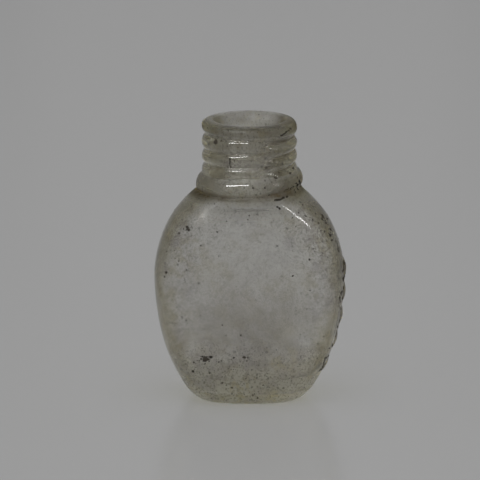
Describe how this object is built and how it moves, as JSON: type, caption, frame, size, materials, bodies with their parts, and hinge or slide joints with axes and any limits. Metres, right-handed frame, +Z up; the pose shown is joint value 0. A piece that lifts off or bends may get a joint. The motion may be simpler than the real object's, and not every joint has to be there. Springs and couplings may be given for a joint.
{
  "type": "glass bottle",
  "caption": "Small flask-shaped clear glass bottle, flattened front and back, with a screw-thread neck, a collar bead and an open mouth.",
  "frame": {"origin": "centre of the base, on the plane that the bottle stands on, below the axis of the neck", "axes": "+Z up along the neck, +X to the right across the wide front, towards the row of bosses, and -Y out of the front"},
  "size_m": [0.044, 0.0244, 0.0645],
  "materials": {
    "bottle_glass": "clear with a faint olive tint, weathered: thin grey haze and fine dark specks"
  },
  "bodies": {
    "root": {"base": "bottle_glass", "body_front": "bottle_glass", "body_back": "bottle_glass", "neck_tube": "bottle_glass", "collar_bead": "bottle_glass", "screw_thread": "bottle_glass", "lip_ring": "bottle_glass", "side_bosses": "bottle_glass"}
  },
  "joints": []
}
